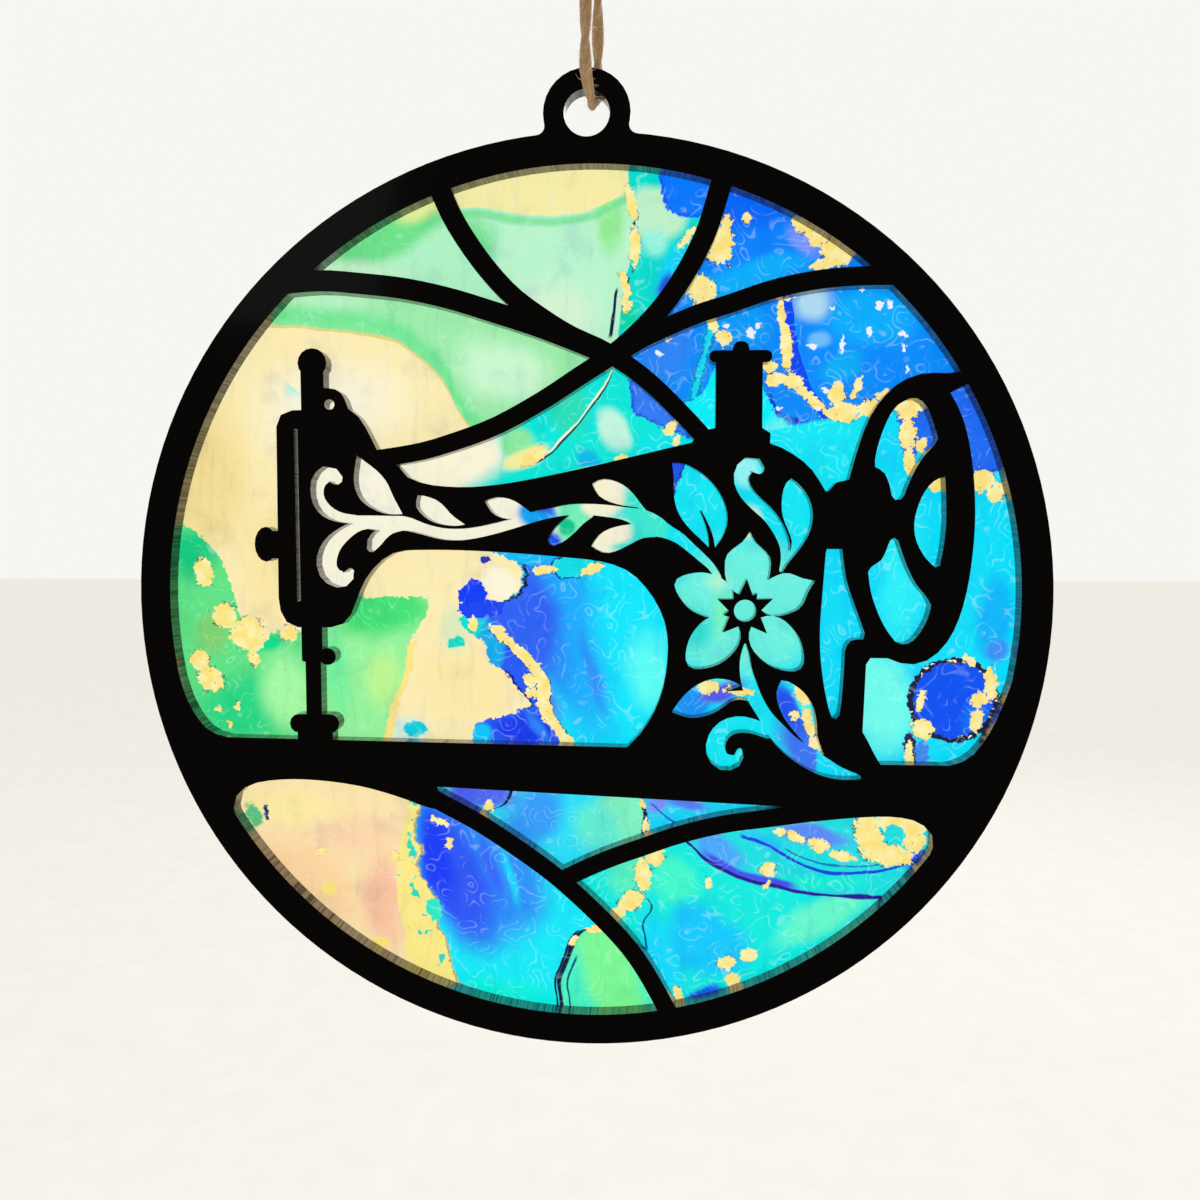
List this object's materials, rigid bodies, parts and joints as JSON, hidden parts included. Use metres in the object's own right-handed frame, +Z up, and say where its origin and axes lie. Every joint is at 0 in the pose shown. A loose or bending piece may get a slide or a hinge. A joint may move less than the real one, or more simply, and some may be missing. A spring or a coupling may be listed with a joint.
{
  "type": "acrylic suncatcher",
  "caption": "Round hanging suncatcher: a black cut-out layer with a sewing machine picture over a marbled translucent disc, on a twine loop.",
  "frame": {"origin": "inside the top of the twine's loop, where a hook or nail holds it", "axes": "+Z up through the tab's hole and the disc's centre, -Y the way the front faces, +X to the right seen from the front"},
  "size_m": [0.15, 0.0143, 0.1968],
  "materials": {
    "frame": "black cast acrylic with polished faces and laser-cut edges",
    "panel": "translucent acrylic printed with a marbled picture in blue, green, cream and gold",
    "twine": "rough natural jute, twisted from two strands"
  },
  "bodies": {
    "root": {"frame": "frame", "panel": "panel", "twine": "twine", "knot": "twine"}
  },
  "joints": []
}
